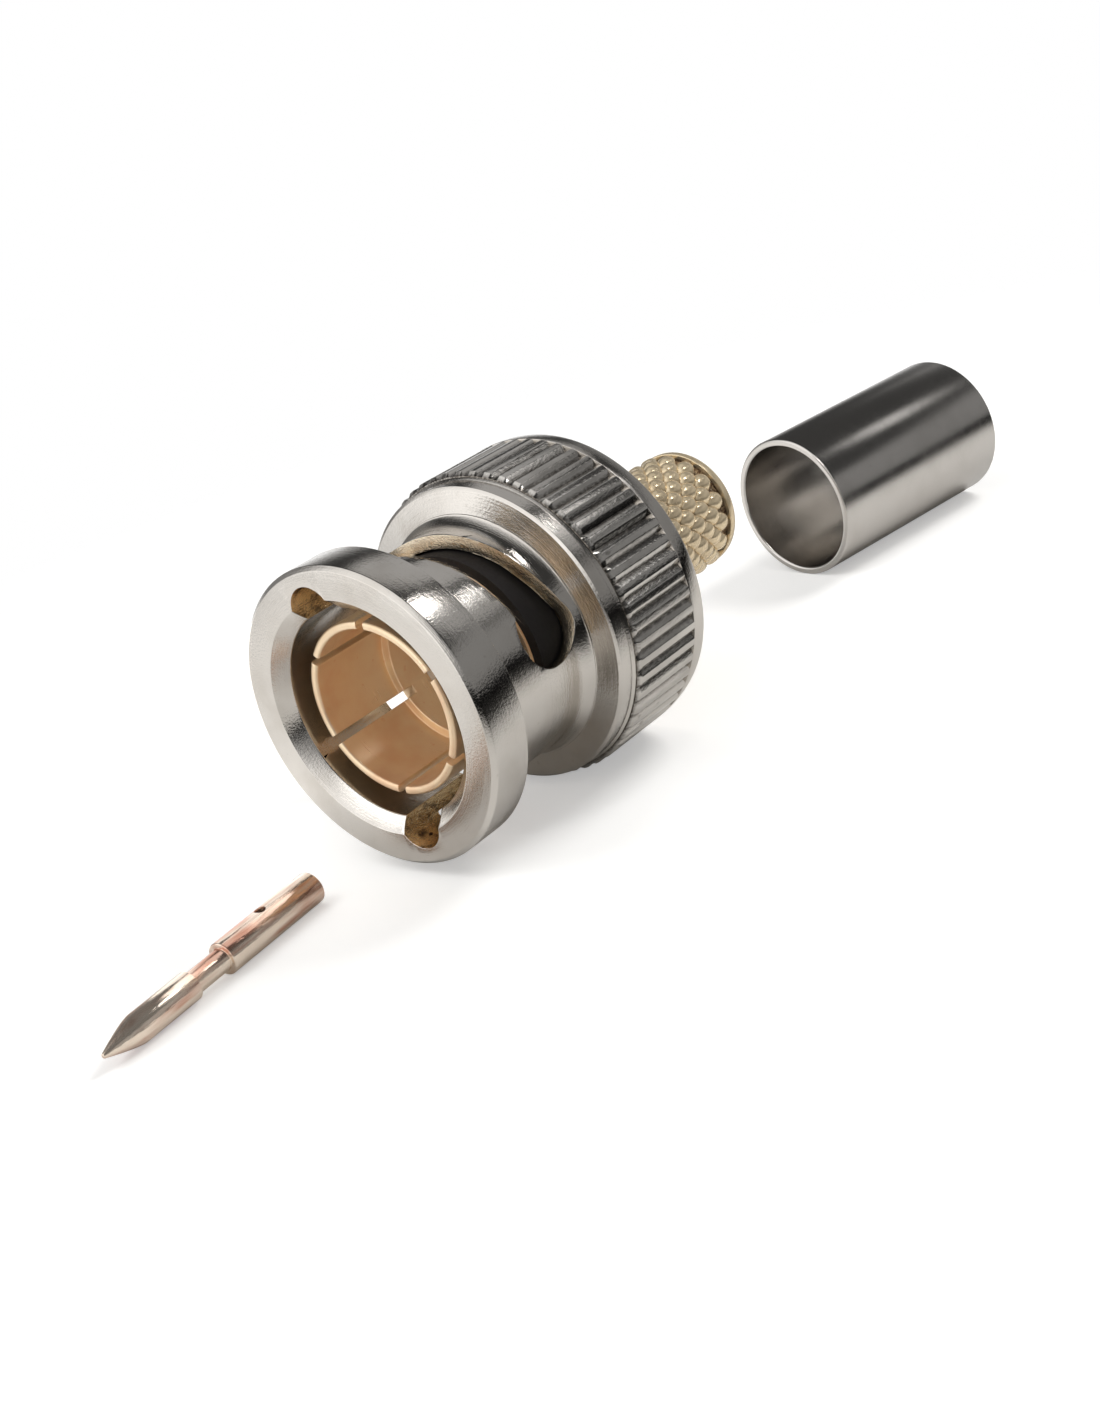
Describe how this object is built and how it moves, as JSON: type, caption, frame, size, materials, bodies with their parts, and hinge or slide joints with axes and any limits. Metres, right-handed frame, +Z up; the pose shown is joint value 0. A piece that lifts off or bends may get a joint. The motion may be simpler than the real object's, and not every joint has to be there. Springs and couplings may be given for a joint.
{
  "type": "coaxial bayonet plug",
  "caption": "Crimp coaxial bayonet plug with a knurled coupling nut, sprung contact sleeve and knurled crimp stem, with its loose centre pin and crimp ferrule.",
  "frame": {"origin": "on the plug's axis at the front face of the coupling nut", "axes": "+Y along the plug's axis towards the cable end, +Z up from the surface that the plug and its loose pieces lie on"},
  "size_m": [0.015, 0.063, 0.0152],
  "materials": {
    "nickel_nut": "bright nickel plate over turned brass",
    "nickel_ferrule": "satin nickel plate",
    "gold_contact": "bright gold plate",
    "gold_body": "pale gold plate",
    "gold_pin": "pale gold plate",
    "white_insulator": "matt white fluoropolymer",
    "gasket_rubber": "black rubber",
    "spring_steel": "bright spring steel"
  },
  "bodies": {
    "plug_body": {"crimp_body": "gold_body", "outer_contact": "gold_contact", "insulator": "white_insulator", "face_gasket": "gasket_rubber", "wave_washer_front": "spring_steel", "wave_washer_rear": "spring_steel", "retaining_ring": "spring_steel", "centre_pin": "gold_pin", "crimp_ferrule": "nickel_ferrule"},
    "thrust_carrier": {"thrust_washer": "spring_steel"},
    "nut": {"coupling_nut": "nickel_nut"}
  },
  "joints": [
    {"name": "nut_float", "type": "slide", "parent": "plug_body", "child": "thrust_carrier", "axis": [0, -1, 0], "range_m": [0, 0.0007], "stiffness_N_per_m": 200, "springref_m": -0.0005, "deforming": ["wave_washer_front", "wave_washer_rear"]},
    {"name": "nut_turn", "type": "hinge", "parent": "thrust_carrier", "child": "nut", "pos_m": [0, 0, 0], "axis": [0, 1, 0], "continuous": true}
  ]
}
